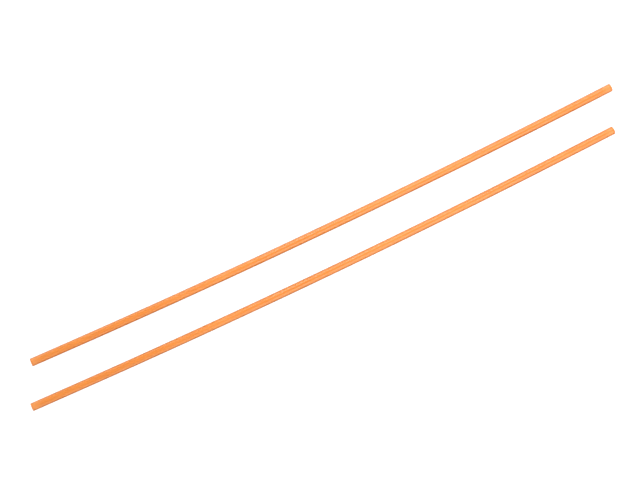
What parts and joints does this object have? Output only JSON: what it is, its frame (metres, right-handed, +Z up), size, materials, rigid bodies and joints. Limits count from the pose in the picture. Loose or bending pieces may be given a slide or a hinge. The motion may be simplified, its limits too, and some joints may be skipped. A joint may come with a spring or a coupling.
{
  "type": "alignment stick",
  "caption": "Slim round golf alignment sticks in a half-glossy orange sleeve, flat at the butt and rounded at the tip, laid side by side to mark a line.",
  "frame": {"origin": "the middle of the footprint of the two sticks, on the ground that they lie on", "axes": "+X along the sticks from their flat butts to their rounded tips, +Z up, and +Y from the second stick to the first"},
  "size_m": [1.044, 0.0851, 0.0127],
  "materials": {
    "orange_sleeve": "satin",
    "orange_plug": "satin",
    "fibreglass": "matte"
  },
  "bodies": {
    "stick_1": {"core_tube_1": "fibreglass", "sleeve_1": "orange_sleeve", "butt_plug_1": "orange_plug", "tip_plug_1": "orange_plug"},
    "stick_2": {"core_tube_2": "fibreglass", "sleeve_2": "orange_sleeve", "butt_plug_2": "orange_plug", "tip_plug_2": "orange_plug"}
  },
  "joints": [
    {"name": "spacing_slide", "type": "slide", "parent": "stick_1", "child": "stick_2", "axis": [0, -1, 0], "range_m": [-0.0495, 0.436]}
  ]
}
